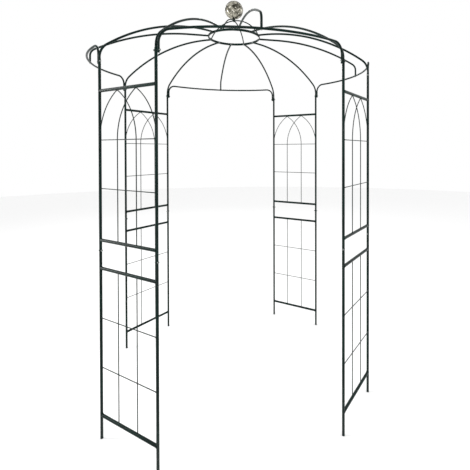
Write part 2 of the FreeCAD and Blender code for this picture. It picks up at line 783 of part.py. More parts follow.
def joint_fasteners():
    """A bolt and nut through each post joint, along the panel."""
    bolts, nuts = [], []
    for index in range(len(POSTS)):
        side = doorway_side(index)
        point = ("L.panel_apothem", "%d * D.panel_width / 2" % side, "L.joint_bolt_height")
        name = "joint_%d" % (index + 1)
        one_bolt = bolt(name + "_bolt", point, side, "L.post_radius", "L.post_radius")
        one_nut = nut(name + "_nut", point, side, "L.post_radius")
        station = PANELS[index // 2]
        bolts.append(turned(name + "_bolt_turned", one_bolt, station))
        nuts.append(turned(name + "_nut_turned", one_nut, station))
    return [group("joint_bolts", bolts), group("joint_nuts", nuts)]


def top_fasteners():
    """A bolt and nut through each post top, its rib and the leg of its doorway bar."""
    bolts, nuts = [], []
    for index, station in enumerate(POSTS):
        side = doorway_side(index)
        point = ("L.circle_radius", "0", "L.top_bolt_height")
        name = "top_%d" % (index + 1)
        one_bolt = bolt(name + "_bolt", point, side, "L.post_radius",
                        "L.post_radius + D.bar_diameter")
        one_nut = nut(name + "_nut", point, side, "L.post_radius")
        bolts.append(turned(name + "_bolt_turned", one_bolt, station))
        nuts.append(turned(name + "_nut_turned", one_nut, station))
    return [group("top_bolts", bolts), group("top_nuts", nuts)]


def rib_fixing(name, seat, insert_start, grip, direction):
    """A round-headed screw from its seat into a threaded insert in a rib end."""
    head = cylinder(name + "_head", "D.screw_head_diameter / 2", "D.screw_head_height",
                    seat, direction * -1)
    shank = cylinder(name + "_shank", "D.bolt_diameter / 2", grip + " + D.insert_length",
                     seat, direction)
    plug = cylinder(name + "_plug", "L.rib_bore", "D.insert_length", insert_start, direction)
    bore = cylinder(name + "_bore", "D.bolt_diameter / 2", "D.insert_length",
                    insert_start, direction)
    screw = fuse(name + "_screw", [head, shank])
    insert = cut(name + "_insert", plug, bore)
    return screw, insert


def rib_fasteners():
    """Screws from inside the ring into all ribs, and from below into the doorway ribs."""
    screws, inserts = [], []
    for number, station in enumerate(POSTS + DOORWAYS, start=1):
        name = "ring_fixing_%d" % number
        fixing = rib_fixing(
            name,
            ("L.screw_seat", "0", "L.ring_height"),
            ("L.ring_radius + D.insert_depth", "0", "L.ring_height"),
            "D.ring_thickness",
            ALONG_X,
        )
        screws.append(turned(name + "_screw_turned", fixing[0], station))
        inserts.append(turned(name + "_insert_turned", fixing[1], station))
    for number, station in enumerate(DOORWAYS, start=1):
        name = "foot_fixing_%d" % number
        bar_top = "L.bar_height + D.bar_diameter / 2"
        fixing = rib_fixing(
            name,
            ("L.bar_middle", "0", "L.bar_height - D.bar_diameter / 2"),
            ("L.bar_middle", "0", bar_top + " + D.insert_depth"),
            "D.bar_diameter",
            UP,
        )
        screws.append(turned(name + "_screw_turned", fixing[0], station))
        inserts.append(turned(name + "_insert_turned", fixing[1], station))
    return [group("rib_screws", screws), group("rib_inserts", inserts)]


# ---------------------------------------------------------------- assembly

def all_subparts():
    """Every sub-part of the pavilion, from the ground up."""
    pieces = [lower_post(index) for index in range(len(POSTS))]
    pieces += [upper_post(index) for index in range(len(POSTS))]
    for number in range(len(PANELS)):
        rails_of = (
            ("rails_lower_%d", ("L.lower_rail_low", "L.lower_rail_high")),
            ("rails_upper_%d", ("L.upper_rail_low", "L.upper_rail_high")),
        )
        pieces += [rail_pair(name % (number + 1), number, heights)
                   for name, heights in rails_of]
        pieces.append(lower_lattice(number))
        pieces.append(upper_lattice(number))
    pieces += [doorway_bar(number) for number in range(len(DOORWAYS))]
    pieces += [post_rib(index) for index in range(len(POSTS))]
    pieces += [doorway_rib(number) for number in range(len(DOORWAYS))]
    pieces += [roof_ring(), crown(), ball_seat(), ball(), stud()]
    return pieces + joint_fasteners() + top_fasteners() + rib_fasteners()


def check(pieces):
    """Stop if any object is in error or any sub-part is not a sound solid."""
    for item in doc.Objects:
        if "Invalid" in item.State or "Error" in item.State:
            raise RuntimeError("%s is %s" % (item.Label, item.State))
    for piece in pieces:
        shape = piece.Shape
        if shape.isNull() or not shape.isValid() or not shape.Solids:
            raise RuntimeError(piece.Label + " is not a sound solid")


def write(pieces):
    """Write each sub-part to a STEP file of its own."""
    os.makedirs("parts", exist_ok=True)
    for piece in pieces:
        piece.Shape.exportStep("parts/%s.step" % piece.Label)


subparts = all_subparts()
doc.recompute()
check(subparts)
write(subparts)
for subpart in subparts:
    box = subpart.Shape.BoundBox
    print("%-16s %2d solid(s)  z %7.1f to %7.1f" % (
        subpart.Label, len(subpart.Shape.Solids), box.ZMin, box.ZMax))
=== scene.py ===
# %% [markdown]
# # A round rose pavilion of bolted steel tube
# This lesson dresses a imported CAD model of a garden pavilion. The CAD pieces give
# every size and place. Each visible piece is then drawn again as a smooth surface,
# worked out with numpy on a grid, and gets a procedural finish.
# %% Load the frame
import json
import math
import bpy
import numpy as np
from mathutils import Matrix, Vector


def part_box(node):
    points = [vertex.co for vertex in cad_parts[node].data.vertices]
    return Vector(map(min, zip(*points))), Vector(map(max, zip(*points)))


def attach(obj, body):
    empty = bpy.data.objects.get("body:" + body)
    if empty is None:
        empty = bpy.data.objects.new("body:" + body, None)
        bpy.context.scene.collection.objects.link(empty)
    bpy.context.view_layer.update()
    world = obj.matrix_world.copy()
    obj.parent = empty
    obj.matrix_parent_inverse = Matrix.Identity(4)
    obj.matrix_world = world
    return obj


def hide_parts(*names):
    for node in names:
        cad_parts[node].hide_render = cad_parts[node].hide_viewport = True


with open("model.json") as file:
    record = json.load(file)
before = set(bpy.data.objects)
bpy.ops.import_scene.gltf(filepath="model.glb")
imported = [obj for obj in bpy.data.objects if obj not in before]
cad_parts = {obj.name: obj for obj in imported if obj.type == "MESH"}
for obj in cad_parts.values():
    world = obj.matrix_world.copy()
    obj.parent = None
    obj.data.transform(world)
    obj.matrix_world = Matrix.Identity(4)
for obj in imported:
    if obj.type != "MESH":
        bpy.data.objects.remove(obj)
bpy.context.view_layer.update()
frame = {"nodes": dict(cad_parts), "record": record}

# %% [markdown]
# ## Measures
# The eight feet stand on one circle. Their places come with the record, and the
# heights come from the boxes of the CAD nodes. The tube and wire sizes are the
# maker's stock sizes, in metres.
# %% Read the plan from the feet
feet = np.array([mount["pos_m"] for mount in frame["record"]["mounts"]
                 if mount["name"].startswith("foot_")])
circle_radius = float(np.hypot(feet[0, 0], feet[0, 1]))
post_angles = np.arctan2(feet[:, 1], feet[:, 0])
panel_width = float(np.linalg.norm(feet[1] - feet[0]))
panel_apothem = math.sqrt(circle_radius ** 2 - (panel_width / 2) ** 2)
panel_angles = math.pi / 4 + math.pi / 2 * np.arange(4)
doorway_angles = math.pi / 2 * np.arange(4)
doorway_half_angle = float(post_angles[0])
print("posts on a circle of", round(circle_radius, 4), "panels", round(panel_width, 4))

# %% Stock sizes
POST_RADIUS = 0.008
POST_BORE = 0.0066
SPIGOT_RADIUS = 0.0065
SPIGOT_BORE = 0.0053
SWAGE_LENGTH = 0.010
RAIL_RADIUS = 0.009
RAIL_BORE = 0.0076
RAIL_END_GAP = 0.004
BAR_RADIUS = 0.0065
TUBE_BORE = 0.0053
UPRIGHT_RADIUS = 0.00275
LEVEL_RADIUS = 0.0025
LEVEL_OFFSET = 0.00475
CROWN_ROD_RADIUS = 0.004
CUT_EDGE = 0.0004
BITE = 0.0006

# %% Heights from the CAD boxes
def low(node, axis=2):
    """Lowest place of a node along one axis."""
    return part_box(node)[0][axis]


def high(node, axis=2):
    """Highest place of a node along one axis."""
    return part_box(node)[1][axis]


joint_height = low("post_upper_1")
spigot_top = high("post_lower_1")
post_top = high("post_upper_1")
joint_bolt_height = (low("joint_bolts") + high("joint_bolts")) / 2
top_bolt_height = (low("top_bolts") + high("top_bolts")) / 2
lower_rails = (low("rails_lower_1") + RAIL_RADIUS, high("rails_lower_1") - RAIL_RADIUS)
upper_rails = (low("rails_upper_1") + RAIL_RADIUS, high("rails_upper_1") - RAIL_RADIUS)
ring_height = (low("ring") + high("ring")) / 2
ring_radius = high("ring", 0)
print("rails at", [round(z, 4) for z in lower_rails + upper_rails],
      "ring at", round(ring_height, 4))

# %% [markdown]
# ## Surfaces on a grid
# Every piece here is a rectangular grid of points bent into shape. The columns go
# round the piece and always close on themselves. The rows either close as well, as
# on a tube with a wall, or shrink to a single point at each end, as on a rod.
# %% Grids become shells
def closed_shell(grid):
    """Quads over a grid whose rows and columns both close on themselves."""
    rows, columns = grid.shape[:2]
    index = np.arange(rows * columns).reshape(rows, columns)
    right = np.roll(index, -1, axis=1)
    up = np.roll(index, -1, axis=0)
    quads = np.stack([index, right, np.roll(right, -1, axis=0), up], axis=-1)
    return grid.reshape(-1, 3), quads.reshape(-1, 4), np.zeros((0, 3), int)


def capped_shell(grid, first_pole, last_pole):
    """Quads over a grid of rings, and a fan of triangles to a pole at each end."""
    rows, columns = grid.shape[:2]
    index = np.arange(rows * columns).reshape(rows, columns)
    right = np.roll(index, -1, axis=1)
    quads = np.stack([index[:-1], right[:-1], right[1:], index[1:]], axis=-1)
    first = np.full(columns, rows * columns)
    start_fan = np.stack([first, right[0], index[0]], axis=-1)
    end_fan = np.stack([first + 1, index[-1], right[-1]], axis=-1)
    points = np.vstack([grid.reshape(-1, 3), [first_pole], [last_pole]])
    return points, quads.reshape(-1, 4), np.vstack([start_fan, end_fan])


def facing_out(shell):
    """The same shell with its faces turned outwards: its signed volume is positive."""
    points, quads, triangles = shell
    loose = np.vstack([quads[:, [0, 1, 2]], quads[:, [0, 2, 3]], triangles])
    a, b, c = (points[loose[:, corner]] for corner in range(3))
    if np.einsum("ij,ij->", a, np.cross(b, c)) < 0:
        return points, quads[:, ::-1], triangles[:, ::-1]
    return shell


# %% [markdown]
# ## From shells to pieces
# A piece may hold several shells, such as the two rails of a panel section. It sits at the origin
# with its place in its mesh, rides on the model's body and names the finish it takes. The CAD
# nodes that it stands for are hidden.
# %% Make a piece
SHARP_ANGLE = math.radians(48)
pieces = []


def make_piece(name, shells, finish, *nodes):
    """Join shells into one mesh object, hang it on the root body and hide the CAD nodes that it
    stands for.
    """
    points, faces, offset = [], [], 0
    for shell_points, quads, triangles in map(facing_out, shells):
        points.append(shell_points)
        faces += (quads + offset).tolist() + (triangles + offset).tolist()
        offset += len(shell_points)
    mesh = bpy.data.meshes.new(name)
    mesh.from_pydata(np.vstack(points).tolist(), [], faces)
    mesh.shade_smooth()
    mesh.set_sharp_from_angle(angle=SHARP_ANGLE)
    mesh.validate()
    piece = bpy.data.objects.new(name, mesh)
    bpy.context.scene.collection.objects.link(piece)
    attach(piece, "root")
    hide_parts(*nodes)
    pieces.append((piece, finish))
    return piece


def turned_about_z(shell, angle):
    """The shell turned about the pavilion's axis."""
    cosine, sine = math.cos(angle), math.sin(angle)
    matrix = np.array([[cosine, sine, 0], [-sine, cosine, 0], [0, 0, 1]])
    return (shell[0] @ matrix,) + tuple(shell[1:])


def moved(shell, offset):
    """The shell moved by an offset."""
    return (shell[0] + np.asarray(offset),) + tuple(shell[1:])


# %% [markdown]
# ## Rings along a path
# A tube or wire is a circle carried along a path. At each station the circle lies
# square to the path, and a side vector says where its angle zero is.
# %% Carry a circle
ROUNDED_SHARE = 0.3


def unit(vectors):
    """Vectors at length one."""
    return vectors / np.linalg.norm(vectors, axis=-1, keepdims=True)


def carry(stations, directions, radii, side, columns):
    """station + r cos(a) u + r sin(a) v, with u beside the path and v square to both."""
    side = np.broadcast_to(side, stations.shape)
    along = np.sum(side * directions, axis=1, keepdims=True)
    beside = unit(side - along * directions)[:, None, :]
    across = np.cross(directions[:, None, :], beside)
    angle = np.linspace(0, 2 * math.pi, columns, endpoint=False)[None, :, None]
    radii = np.asarray(radii).reshape(len(stations), -1, 1)
    return stations[:, None, :] + radii * (np.cos(angle) * beside + np.sin(angle) * across)


def headings(path):
    """Direction of travel at each point of a path."""
    return unit(np.gradient(path, axis=0))


def tube_grid(path, outside, inside, side, columns=32):
    """Outer skin along the path and inner skin back, with the cut edges broken."""
    heading = headings(path)
    first = path[0] + CUT_EDGE * heading[0]
    last = path[-1] - CUT_EDGE * heading[-1]
    stations = np.vstack([path[:1], [first], path[1:-1], [last], path[-1:]])
    heading = np.vstack([heading[:1], heading, heading[-1:]])
    outer = np.full(len(stations), outside)
    outer[[0, -1]] = outside - CUT_EDGE
    inner = np.full(len(stations), inside)
    return carry(np.vstack([stations, stations[::-1]]), np.vstack([heading, heading[::-1]]),
                 np.concatenate([outer, inner]), side, columns)


def tube(path, outside, inside, side, columns=32):
    """A tube with a wall, open at both ends."""
    return closed_shell(tube_grid(path, outside, inside, side, columns))


def rod(path, radius, side, columns=12):
    """A solid wire whose cut ends are slightly rounded."""
    heading = headings(path)
    ease = ROUNDED_SHARE * radius
    stations = np.vstack([path[:1], path[:1] + ease * heading[0], path[1:-1],
                          path[-1:] - ease * heading[-1], path[-1:]])
    heading = np.vstack([heading[:1], heading, heading[-1:]])
    radii = np.full(len(stations), radius)
    radii[[0, -1]] = radius - ease
    grid = carry(stations, heading, radii, side, columns)
    return capped_shell(grid, path[0], path[-1])


# %% Lines and arcs for paths
UP = np.array([0.0, 0.0, 1.0])
OUTWARD = np.array([1.0, 0.0, 0.0])
SIDEWAYS = np.array([0.0, 1.0, 0.0])
SAME_PLACE = 1e-6


def straight(start, end, count=2):
    """Evenly spaced points from start to end."""
    share = np.linspace(0, 1, count)[:, None]
    return np.asarray(start) * (1 - share) + np.asarray(end) * share


def arc(centre, first_spoke, second_spoke, start, end, count):
    """centre + cos(a) first + sin(a) second, for a from start to end."""
    angle = np.linspace(start, end, count)[:, None]
    return centre + np.cos(angle) * first_spoke + np.sin(angle) * second_spoke


def joined(*stretches):
    """Stretches of a path end to end, without the points that they share."""
    path = np.vstack(stretches)
    step = np.linalg.norm(np.diff(path, axis=0), axis=1)
    return path[np.concatenate([[True], step > SAME_PLACE])]


# %% [markdown]
# ## Posts
# A post comes in two lengths of tube. The lower one ends in a reduced spigot, drawn
# down in a die, and the upper one slides over it. Both are turned shapes: a closed
# outline of radius and height, swung round the post's own axis. Every corner of the
# outline is broken a little, as a deburred tube end is.
# %% Turned shapes
def broken_corners(outline, size=CUT_EDGE):
    """Replace each corner of a closed outline by two points, a little along each side."""
    outline = np.asarray(outline, float)
    to_next = np.roll(outline, -1, axis=0) - outline
    to_last = np.roll(outline, 1, axis=0) - outline
    ahead = outline + unit(to_next) * size
    behind = outline + unit(to_last) * size
    return np.stack([behind, ahead], axis=1).reshape(-1, 2)


def turned(outline, columns=32):
    """(r cos a, r sin a, z) for each point (r, z) of a closed outline."""
    angle = np.linspace(0, 2 * math.pi, columns, endpoint=False)
    radius, height = np.asarray(outline, float).T[:, :, None]
    around = np.broadcast_to(height, (len(outline), columns))
    return closed_shell(np.stack([radius * np.cos(angle), radius * np.sin(angle), around],
                                 axis=-1))


# %% Eight lower and eight upper posts
lower_post_outline = broken_corners([
    (POST_BORE, 0),
    (POST_RADIUS, 0),
    (POST_RADIUS, joint_height),
    (SPIGOT_RADIUS, joint_height),
    (SPIGOT_RADIUS, spigot_top),
    (SPIGOT_BORE, spigot_top),
    (SPIGOT_BORE, joint_height - (POST_RADIUS - POST_BORE)),
    (POST_BORE, joint_height - SWAGE_LENGTH),
])
upper_post_outline = broken_corners([
    (POST_BORE, joint_height),
    (POST_RADIUS, joint_height),
    (POST_RADIUS, post_top),
    (POST_BORE, post_top),
])
for number, foot in enumerate(feet, start=1):
    lower = moved(turned(lower_post_outline), foot)
    upper = moved(turned(upper_post_outline), foot)
    make_piece("lower_post_%d" % number, [lower], "frame_coat", "post_lower_%d" % number)
    make_piece("upper_post_%d" % number, [upper], "frame_coat", "post_upper_%d" % number)
print("posts:", 2 * len(feet))

# %% [markdown]
# ## Rails
# The rails are level tubes a little thicker than the posts. Their ends are coped: cut
# to a fish mouth that wraps the post, then welded all round. A rail is drawn along Y
# in the plane of its panel, and each point of its skin ends where it meets the post.
# %% A coped rail
def cope_depth(across):
    """How far from a post's axis a rail ends, for a place that far out from its middle."""
    reach = np.sqrt(np.maximum(POST_RADIUS ** 2 - across ** 2, 0))
    return np.maximum(reach, RAIL_END_GAP)


def rail(height, columns=40, rows=5):
    """(x, y, z) = (apothem + r cos a, t (w/2 - cope), height + r sin a), outside and back."""
    angle = np.linspace(0, 2 * math.pi, columns, endpoint=False)
    share = np.linspace(-1, 1, rows)[:, None]
    skins = []
    for radius, order in ((RAIL_RADIUS, 1), (RAIL_BORE, -1)):
        across = radius * np.cos(angle)
        along = share[::order] * (panel_width / 2 - cope_depth(across))
        level = height + radius * np.sin(angle)
        skins.append(np.stack([np.broadcast_to(panel_apothem + across, along.shape), along,
                               np.broadcast_to(level, along.shape)], axis=-1))
    return closed_shell(np.vstack(skins))


# %% [markdown]
# A weld bead is a small round bead laid along the seam. The welder's dabs show as
# ripples: the bead's radius rises and falls many times on its way round.
# %% Weld beads around the rail ends
BEAD_RADIUS = 0.0014
DABS_ROUND_A_RAIL = 34
RIPPLE = 0.16


def rail_weld(height, end, columns=8, rows=204):
    """A rippled bead carried round the seam between a rail and its post."""
    angle = np.linspace(0, 2 * math.pi, rows, endpoint=False)
    across = RAIL_RADIUS * np.cos(angle)
    seam = np.stack([panel_apothem + across, end * (panel_width / 2 - cope_depth(across)),
                     height + RAIL_RADIUS * np.sin(angle)], axis=-1)
    heading = unit(np.roll(seam, -1, axis=0) - np.roll(seam, 1, axis=0))
    outward = np.stack([np.cos(angle), np.zeros(rows), np.sin(angle)], axis=-1)
    radii = BEAD_RADIUS * (1 + RIPPLE * np.cos(DABS_ROUND_A_RAIL * angle))
    return closed_shell(carry(seam, heading, radii, outward, columns))


# %% Rails of the four panels
def panel_rails(heights):
    """Two rails and their four welds."""
    shells = []
    for height in heights:
        shells += [rail(height), rail_weld(height, -1), rail_weld(height, 1)]
    return shells


for number, angle in enumerate(panel_angles, start=1):
    for section, heights in (("lower", lower_rails), ("upper", upper_rails)):
        shells = [turned_about_z(shell, angle) for shell in panel_rails(heights)]
        make_piece("%s_rails_%d" % (section, number), shells, "frame_coat",
                   "rails_%s_%d" % (section, number))
print("rails:", 4 * len(panel_angles), "welds:", 8 * len(panel_angles))

# %% [markdown]
# ## Trellis wires
# Two upright wires stand at the thirds of each panel, with level wires welded across
# their outer faces. In the upper section four wires bend over into two pointed
# arches that cross. Each arch wire is an arc of a circle, upright where it starts.
# %% Heights and the arch of the trellis
wire_third = panel_width / 3
apex_height = upper_rails[1] - RAIL_RADIUS + UPRIGHT_RADIUS
FIRST_WIRE_RISE = 0.288
SECOND_WIRE_RISE = 0.268
first_wire = upper_rails[0] + FIRST_WIRE_RISE
second_wire = first_wire + SECOND_WIRE_RISE
arch_rise = apex_height - second_wire
arch_radius = (wire_third ** 2 + arch_rise ** 2) / (2 * wire_third)
arch_angle = math.asin(arch_rise / arch_radius)
RAIL_SINK = RAIL_RADIUS - BITE
POST_SINK = POST_RADIUS - BITE
print("arch radius", round(arch_radius, 4), "angle", round(math.degrees(arch_angle), 1))


def upright_wire(side, start, end):
    """An upright wire at one third of the panel."""
    along = side * wire_third / 2
    return rod(straight((panel_apothem, along, start), (panel_apothem, along, end), 4),
               UPRIGHT_RADIUS, OUTWARD)


def level_wire(height):
    """A level wire on the outer face of the upright ones, from post to post."""
    half = panel_width / 2 - POST_SINK * math.cos(math.asin(LEVEL_OFFSET / POST_RADIUS))
    return rod(straight((panel_apothem + LEVEL_OFFSET, -half, height),
                        (panel_apothem + LEVEL_OFFSET, half, height), 6), LEVEL_RADIUS, UP)


def arch_wire(start, bend):
    """An arc that leaves the second level wire upright and bends to one side."""
    spoke = np.array([0.0, -bend * arch_radius, 0.0])
    centre = np.array([panel_apothem, start * wire_third + bend * arch_radius, second_wire])
    path = arc(centre, spoke, UP * arch_radius, 0, arch_angle, 28)
    if abs(start) < 1:
        path = joined(straight(path[0] - UP * (second_wire - upper_rails[0] - RAIL_SINK),
                               path[0], 5), path)
    return rod(path, UPRIGHT_RADIUS, OUTWARD)


# %% [markdown]
# Where a wire meets a rail or a post there is a small collar of weld. Its foot flares
# out over the round surface that it sits on, and its top runs into the wire. Where
# two wires cross, the weld is a flattened drop between them.
# %% Small welds
COLLAR_FLARE = 0.0015
COLLAR_HEIGHT = 0.0019
COLLAR_SKIRT = 0.0002
COLLAR_ROOT = 0.0008
DROP_SIZE = np.array([0.0012, 0.0033, 0.0031])
DROP_SINK = 0.0002


def collar(foot, away, host_axis, wire_radius, host_radius, columns=12, rows=4):
    """Radius w + f (1 - t)^2 and height h t^2, laid on a cylinder of the host's radius."""
    away, host_axis = np.asarray(away, float), np.asarray(host_axis, float)
    across = np.cross(away, host_axis)
    angle = np.linspace(0, 2 * math.pi, columns, endpoint=False)[None, :]
    share = np.linspace(0, 1, rows)[:, None]
    spread = wire_radius + COLLAR_FLARE * (1 - share) ** 2
    sag = host_radius - np.sqrt(host_radius ** 2 - (spread * np.sin(angle)) ** 2)
    lift = COLLAR_HEIGHT * share ** 2 - sag * (1 - share) - COLLAR_SKIRT * (1 - share)
    ring = (np.cos(angle)[..., None] * host_axis + np.sin(angle)[..., None] * across)
    grid = np.asarray(foot) + spread[..., None] * ring + lift[..., None] * away
    return capped_shell(grid, foot - COLLAR_ROOT * away, foot + COLLAR_HEIGHT * away)


def crossing_weld(along, height, columns=10, rows=4):
    """A flattened drop of weld where a level wire crosses an upright one."""
    middle = np.array([panel_apothem + UPRIGHT_RADIUS - DROP_SINK, along, height])
    angle = np.linspace(0, 2 * math.pi, columns, endpoint=False)[None, :]
    tilt = np.linspace(-math.pi / 2, math.pi / 2, rows + 2)[1:-1, None]
    ball = np.stack([np.cos(tilt) * np.cos(angle), np.cos(tilt) * np.sin(angle),
                     np.sin(tilt) * np.ones_like(angle)], axis=-1)
    tip = UP * DROP_SIZE[2]
    return capped_shell(middle + ball * DROP_SIZE, middle - tip, middle + tip)


# %% Welds of one section
def wire_welds(rails, levels, with_arches):
    """Collars at both ends of every wire, and a drop at every crossing."""
    shells = []
    inner_reach = panel_width / 2 - POST_RADIUS * math.cos(math.asin(LEVEL_OFFSET / POST_RADIUS))
    for side in (-1, 1):
        along = side * wire_third / 2
        foot = np.array([panel_apothem, along, rails[0] + RAIL_RADIUS])
        shells.append(collar(foot, UP, (0, 1, 0), UPRIGHT_RADIUS, RAIL_RADIUS))
        head = np.array([panel_apothem, along, rails[1] - RAIL_RADIUS])
        width = UPRIGHT_RADIUS * (2 if with_arches else 1)
        shells.append(collar(head, -UP, (0, 1, 0), width, RAIL_RADIUS))
        for height in levels:
            shells.append(crossing_weld(along, height))
            end = np.array([panel_apothem + LEVEL_OFFSET, side * inner_reach, height])
            shells.append(collar(end, (0, -side, 0), UP, LEVEL_RADIUS, POST_RADIUS))
    return shells


# %% Wire fields of the four panels
lower_levels = [lower_rails[0] + step * (lower_rails[1] - lower_rails[0]) / 3 for step in (1, 2)]
lower_field = [upright_wire(side, lower_rails[0] + RAIL_SINK, lower_rails[1] - RAIL_SINK)
               for side in (-1, 1)]
lower_field += [level_wire(height) for height in lower_levels]
lower_field += wire_welds(lower_rails, lower_levels, False)
upper_field = [arch_wire(start, bend)
               for start, bend in ((-1.5, 1), (-0.5, 1), (0.5, -1), (1.5, -1))]
upper_field += [level_wire(height) for height in (first_wire, second_wire)]
upper_field += wire_welds(upper_rails, (first_wire, second_wire), True)
for number, angle in enumerate(panel_angles, start=1):
    for section, field in (("lower", lower_field), ("upper", upper_field)):
        make_piece("%s_trellis_%d" % (section, number),
                   [turned_about_z(shell, angle) for shell in field], "wire_coat",
                   "lattice_%s_%d" % (section, number))
print("wires and welds in a panel:", len(lower_field) + len(upper_field))

# %% [markdown]
# ## Doorway bars
# Each doorway is closed at the top by one bent tube. It rises from beside one post
# top, turns over a shoulder, bows out level to the other side and comes down again.
# The shoulder lies in the upright plane that touches the level arc where they meet.
# The arc's centre follows from three things: where the legs stand, how wide the
# shoulder is and how far out the middle of the bar lies.
# %% The line of a doorway bar
SHOULDER_RADIUS = 0.060
LEG_END = 0.013
bar_height = high("doorway_bar_1") - BAR_RADIUS
bar_middle = high("doorway_bar_1", 0) - BAR_RADIUS
leg_offset = POST_RADIUS + BAR_RADIUS
leg_circle = math.hypot(circle_radius, leg_offset)
leg_angle = doorway_half_angle - math.atan(leg_offset / circle_radius)
leg_across, leg_along = leg_circle * math.cos(leg_angle), leg_circle * math.sin(leg_angle)
arc_centre = ((bar_middle ** 2 + SHOULDER_RADIUS ** 2 - leg_circle ** 2)
              / (2 * (bar_middle - leg_across)))
arc_radius = bar_middle - arc_centre
arc_half = math.atan2(leg_along, leg_across - arc_centre) - math.atan(SHOULDER_RADIUS / arc_radius)


def half_bar(side):
    """Leg and shoulder on one side, from the foot up to the level arc."""
    foot = np.array([leg_across, side * leg_along, top_bolt_height - LEG_END])
    knee = np.array([leg_across, side * leg_along, bar_height - SHOULDER_RADIUS])
    centre = np.array([arc_centre + arc_radius * math.cos(arc_half),
                       side * arc_radius * math.sin(arc_half), bar_height - SHOULDER_RADIUS])
    shoulder = arc(centre, knee - centre, UP * SHOULDER_RADIUS, 0, math.pi / 2, 20)
    return joined(straight(foot, knee, 4), shoulder)


level_arc = arc(np.array([arc_centre, 0, bar_height]), OUTWARD * arc_radius,
                np.array([0, arc_radius, 0]), -arc_half, arc_half, 96)
bar_path = joined(half_bar(-1), level_arc, half_bar(1)[::-1])
bar_side = unit((bar_path - [arc_centre, 0, 0]) * [1, 1, 0])
bar_side = np.vstack([bar_side[:1], bar_side, bar_side[-1:]])
door_bar = closed_shell(tube_grid(bar_path, BAR_RADIUS, TUBE_BORE,
                                  np.vstack([bar_side, bar_side[::-1]])))
for number, angle in enumerate(doorway_angles, start=1):
    make_piece("door_bar_%d" % number, [turned_about_z(door_bar, angle)], "frame_coat",
               "doorway_bar_%d" % number)
print("doorway bars at", round(bar_height, 4), "arc radius", round(arc_radius, 4))

# %% [markdown]
# ## Roof ribs
# Twelve ribs carry the ring. Each is bent in one upright plane: an upright foot, a
# small bend, a long arc of the dome and a short level run into the ring. The dome arc
# has no radius of its own, because it has to touch both the bend and the level run.
# %% The line of a rib
POST_RIB_ENTRY = 0.040
POST_RIB_STRAIGHT = 0.022
POST_RIB_BEND = 0.100
POST_RIB_LEVEL = 0.036
DOOR_RIB_LEG = 0.045
DOOR_RIB_BEND = 0.050
DOOR_RIB_LEVEL = 0.135


def rib_path(foot_radius, foot_height, bend_height, bend, level_run):
    """Foot, bend, dome and level run; the dome's radius comes from the two tangencies."""
    reach = foot_radius - bend - ring_radius - level_run
    rise = ring_height - bend_height
    dome = (reach ** 2 + rise ** 2 - bend ** 2) / (2 * (rise - bend))
    turn = math.acos(reach / (dome - bend))
    bend_centre = np.array([foot_radius - bend, 0, bend_height])
    dome_centre = np.array([ring_radius + level_run, 0, ring_height - dome])
    return joined(
        straight((foot_radius, 0, foot_height), (foot_radius, 0, bend_height), 4),
        arc(bend_centre, OUTWARD * bend, UP * bend, 0, turn, 18),
        arc(dome_centre, OUTWARD * dome, UP * dome, turn, math.pi / 2, 56),
        straight((ring_radius + level_run, 0, ring_height),
                 (ring_radius - BITE, 0, ring_height), 4),
    )


post_rib_path = rib_path(circle_radius, top_bolt_height - POST_RIB_ENTRY,
                         top_bolt_height + POST_RIB_STRAIGHT, POST_RIB_BEND, POST_RIB_LEVEL)
post_rib = tube(post_rib_path, BAR_RADIUS, TUBE_BORE, SIDEWAYS, 28)
for number, angle in enumerate(post_angles, start=1):
    make_piece("post_rib_%d" % number, [turned_about_z(post_rib, angle)], "frame_coat",
               "roof_rib_%d" % number)

# %% [markdown]
# A doorway rib stands on the middle of its bar. Its foot is coped like a saddle: each
# point of the cut end comes down to the round top of the bar.
# %% Doorway ribs with a saddle foot
door_rib_path = rib_path(bar_middle, bar_height, bar_height + DOOR_RIB_LEG, DOOR_RIB_BEND,
                         DOOR_RIB_LEVEL)
door_rib_grid = tube_grid(door_rib_path, BAR_RADIUS, TUBE_BORE, SIDEWAYS, 28)
for row, lift in ((0, 0), (1, CUT_EDGE), (-2, CUT_EDGE), (-1, 0)):
    over_bar = door_rib_grid[row, :, 0] - bar_middle
    saddle = np.sqrt(np.maximum(BAR_RADIUS ** 2 - over_bar ** 2, 0))
    door_rib_grid[row, :, 2] = bar_height + saddle + lift
door_rib = closed_shell(door_rib_grid)
for number, angle in enumerate(doorway_angles, start=1):
    make_piece("door_rib_%d" % number, [turned_about_z(door_rib, angle)], "frame_coat",
               "doorway_rib_%d" % number)
print("ribs:", len(post_angles) + len(doorway_angles))

# %% [markdown]
# ## Ring, crown and hub
# The ring is a flat band with softened edges, which is a turned shape again. The
# crown's four rods are arcs of one circle, from the ring up to the hub.
# %% Roof ring
RING_THICKNESS = 0.008
RING_ROUND = 0.0012
ring_inside = ring_radius - RING_THICKNESS
ring_outline = broken_corners([
    (ring_inside, low("ring")),
    (ring_radius, low("ring")),
    (ring_radius, high("ring")),
    (ring_inside, high("ring")),
], RING_ROUND)
ring_outline = broken_corners(ring_outline, RING_ROUND / 4)
make_piece("roof_ring", [turned(ring_outline, 144)], "frame_coat", "ring")

